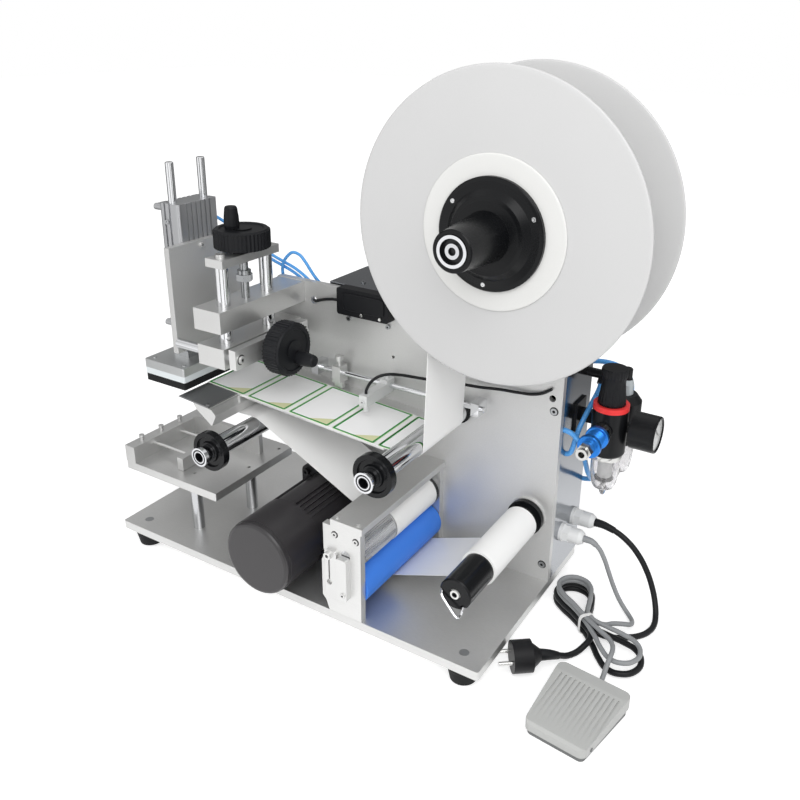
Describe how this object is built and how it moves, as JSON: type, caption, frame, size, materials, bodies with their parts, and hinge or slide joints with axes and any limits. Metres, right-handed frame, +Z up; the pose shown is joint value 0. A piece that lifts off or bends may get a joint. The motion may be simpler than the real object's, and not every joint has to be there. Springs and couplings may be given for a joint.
{
  "type": "flat labeling machine",
  "caption": "Semi-automatic flat labeling machine: label reel, peel blade, pneumatic pressing head, product table, liner drive, rewind shaft, air unit and foot switch.",
  "frame": {"origin": "middle of the footprint of the machine with its foot switch, on the floor, the free cords left out", "axes": "+X to the right along the base plate's front edge, +Y to the back, +Z up"},
  "size_m": [0.6878, 0.318, 0.6275],
  "materials": {
    "base_aluminium": "brushed, fine grain",
    "machined_aluminium": "machined, satin",
    "panel_aluminium": "brushed, satin",
    "cabinet_steel": "brushed, reflecting",
    "anodised_aluminium": "anodised, matt",
    "chromed_steel": "polished",
    "ground_steel": "ground, bright",
    "black_paint": "satin",
    "motor_grey": "matt, slightly rough",
    "black_plastic": "moulded, semi gloss",
    "black_handwheel": "moulded, gloss",
    "black_rubber": "matt",
    "blue_rubber": "ground, matt",
    "white_plastic": "translucent, matt",
    "white_foam": "matt",
    "black_sponge": "open cells, matt",
    "blade_steel": "dark, satin",
    "paper": "coated",
    "glassine": "smooth",
    "sensor_white": "matt",
    "clear_plastic": "clear",
    "blue_anodised": "knurled, anodised",
    "blue_tube": "gloss",
    "nickel": "nickel plated",
    "pedal_grey": "hammered, matt",
    "pedal_dark": "matt",
    "black_cord": "matt",
    "grey_cord": "matt"
  },
  "bodies": {
    "frame": {"base_plate": "base_aluminium", "rubber_feet": "black_rubber", "upright_panel": "panel_aluminium", "cabinet_shell": "cabinet_steel", "cabinet_back": "cabinet_steel", "frame_screws": "ground_steel", "head_beam": "machined_aluminium", "label_platform": "machined_aluminium", "peel_plate": "blade_steel", "peel_block": "machined_aluminium", "label_web": "paper", "liner": "glassine", "roller_axles": "chromed_steel", "roller_collars": "black_plastic", "sensor_rail": "chromed_steel", "amplifier": "black_plastic", "roller_box": "machined_aluminium", "tension_clip": "machined_aluminium", "motor": "motor_grey", "gearbox": "black_paint", "drive_belt": "black_rubber", "rewind_bearing": "anodised_aluminium", "reel_axle": "chromed_steel", "table": "machined_aluminium", "air_regulator": "black_plastic", "air_bowls": "clear_plastic", "air_valve": "nickel", "air_tubes": "blue_tube", "cable_glands": "white_plastic", "pedal_base": "pedal_dark", "mains_cord": "black_cord", "pedal_cord": "grey_cord", "mains_plug": "black_plastic"},
    "lift_slide": {"crossbar": "machined_aluminium", "lower_block": "machined_aluminium"},
    "lift_screw": {"lift_handwheel": "black_handwheel"},
    "offset_slide": {"end_plate": "machined_aluminium", "cylinder_plate": "anodised_aluminium", "air_cylinder": "anodised_aluminium"},
    "offset_screw": {"offset_handwheel": "black_handwheel"},
    "press": {"guide_rods": "chromed_steel", "pad": "machined_aluminium", "pad_sponge": "black_sponge"},
    "reel": {"reel_hub": "black_plastic", "reel_discs": "white_plastic", "label_roll": "paper"},
    "web_roller": {"roller_tube_2": "chromed_steel"},
    "liner_roller": {"roller_tube_1": "chromed_steel"},
    "drive": {"drive_roller": "blue_rubber"},
    "pinch": {"pinch_roller": "machined_aluminium"},
    "motor_shaft": {"motor_pulley": "anodised_aluminium"},
    "rewind": {"rewind_mandrel": "black_plastic", "rewind_paper": "paper"},
    "wire_clip": {"rewind_clip": "chromed_steel"},
    "web_guide": {"guide_block": "machined_aluminium"},
    "gap_sensor": {"sensor_fork": "sensor_white"},
    "stop_bar": {"fence_bar": "machined_aluminium"},
    "treadle": {"pedal_treadle": "pedal_grey"},
    "pressure_knob": {"regulator_knob": "black_plastic"},
    "valve_ring": {"valve_sleeve": "blue_anodised"}
  },
  "joints": [
    {"name": "lift", "type": "slide", "parent": "frame", "child": "lift_slide", "axis": [0, 0, 1], "range_m": [-0.02, 0.012]},
    {"name": "lift_wheel", "type": "hinge", "parent": "lift_slide", "child": "lift_screw", "pos_m": [-0.1719, -0.041, 0.413], "axis": [0, 0, 1], "range_deg": [-3610, 2170]},
    {"name": "offset", "type": "slide", "parent": "lift_slide", "child": "offset_slide", "axis": [1, 0, 0], "range_m": [-0.003, 0.015]},
    {"name": "offset_wheel", "type": "hinge", "parent": "offset_slide", "child": "offset_screw", "pos_m": [-0.1419, -0.03, 0.292], "axis": [1, 0, 0], "range_deg": [-550, 2710]},
    {"name": "press_stroke", "type": "slide", "parent": "offset_slide", "child": "press", "axis": [0, 0, 1], "range_m": [-0.06, 0]},
    {"name": "reel_turn", "type": "hinge", "parent": "frame", "child": "reel", "pos_m": [0.1611, -0.031, 0.4775], "axis": [0, 1, 0], "continuous": true},
    {"name": "web_roller_turn", "type": "hinge", "parent": "frame", "child": "web_roller", "pos_m": [0.0738, -0.031, 0.2286], "axis": [0, 1, 0], "continuous": true},
    {"name": "liner_roller_turn", "type": "hinge", "parent": "frame", "child": "liner_roller", "pos_m": [-0.1559, -0.031, 0.1895], "axis": [0, 1, 0], "continuous": true},
    {"name": "drive_turn", "type": "hinge", "parent": "frame", "child": "drive", "pos_m": [0.0341, -0.031, 0.07], "axis": [0, 1, 0], "continuous": true},
    {"name": "pinch_turn", "type": "hinge", "parent": "frame", "child": "pinch", "pos_m": [0.0341, -0.031, 0.1144], "axis": [0, 1, 0], "continuous": true},
    {"name": "motor_turn", "type": "hinge", "parent": "frame", "child": "motor_shaft", "pos_m": [-0.0719, -0.031, 0.086], "axis": [0, 1, 0], "continuous": true},
    {"name": "rewind_turn", "type": "hinge", "parent": "frame", "child": "rewind", "pos_m": [0.1691, -0.031, 0.117], "axis": [0, 1, 0], "continuous": true},
    {"name": "clip_pull", "type": "slide", "parent": "rewind", "child": "wire_clip", "axis": [0, 1, 0], "range_m": [-0.06, 0]},
    {"name": "web_guide_slide", "type": "slide", "parent": "frame", "child": "web_guide", "axis": [1, 0, 0], "range_m": [-0.012, 0.03]},
    {"name": "gap_sensor_slide", "type": "slide", "parent": "frame", "child": "gap_sensor", "axis": [1, 0, 0], "range_m": [-0.02, 0.04]},
    {"name": "stop_bar_slide", "type": "slide", "parent": "frame", "child": "stop_bar", "axis": [1, 0, 0], "range_m": [-0.045, 0.006]},
    {"name": "treadle_press", "type": "hinge", "parent": "frame", "child": "treadle", "pos_m": [0.29576, -0.13683, 0.01], "axis": [0.9945, -0.1045, 0], "range_deg": [-1.6, 0], "stiffness_Nm_per_rad": 8, "springref_deg": 2.29},
    {"name": "pressure_turn", "type": "hinge", "parent": "frame", "child": "pressure_knob", "pos_m": [0.2461, 0.081, 0.273], "axis": [0, 0, 1], "range_deg": [-720, 720]},
    {"name": "valve_slide", "type": "slide", "parent": "frame", "child": "valve_ring", "axis": [0, 1, 0], "range_m": [0, 0.004]}
  ],
  "couplings": [
    {"joint": "lift_wheel", "follows": "lift", "rad_per_m": 3141.6},
    {"joint": "offset_wheel", "follows": "offset", "rad_per_m": 3141.6},
    {"joint": "pinch_turn", "follows": "drive_turn", "ratio": -1.175},
    {"joint": "motor_turn", "follows": "drive_turn", "ratio": 1}
  ]
}
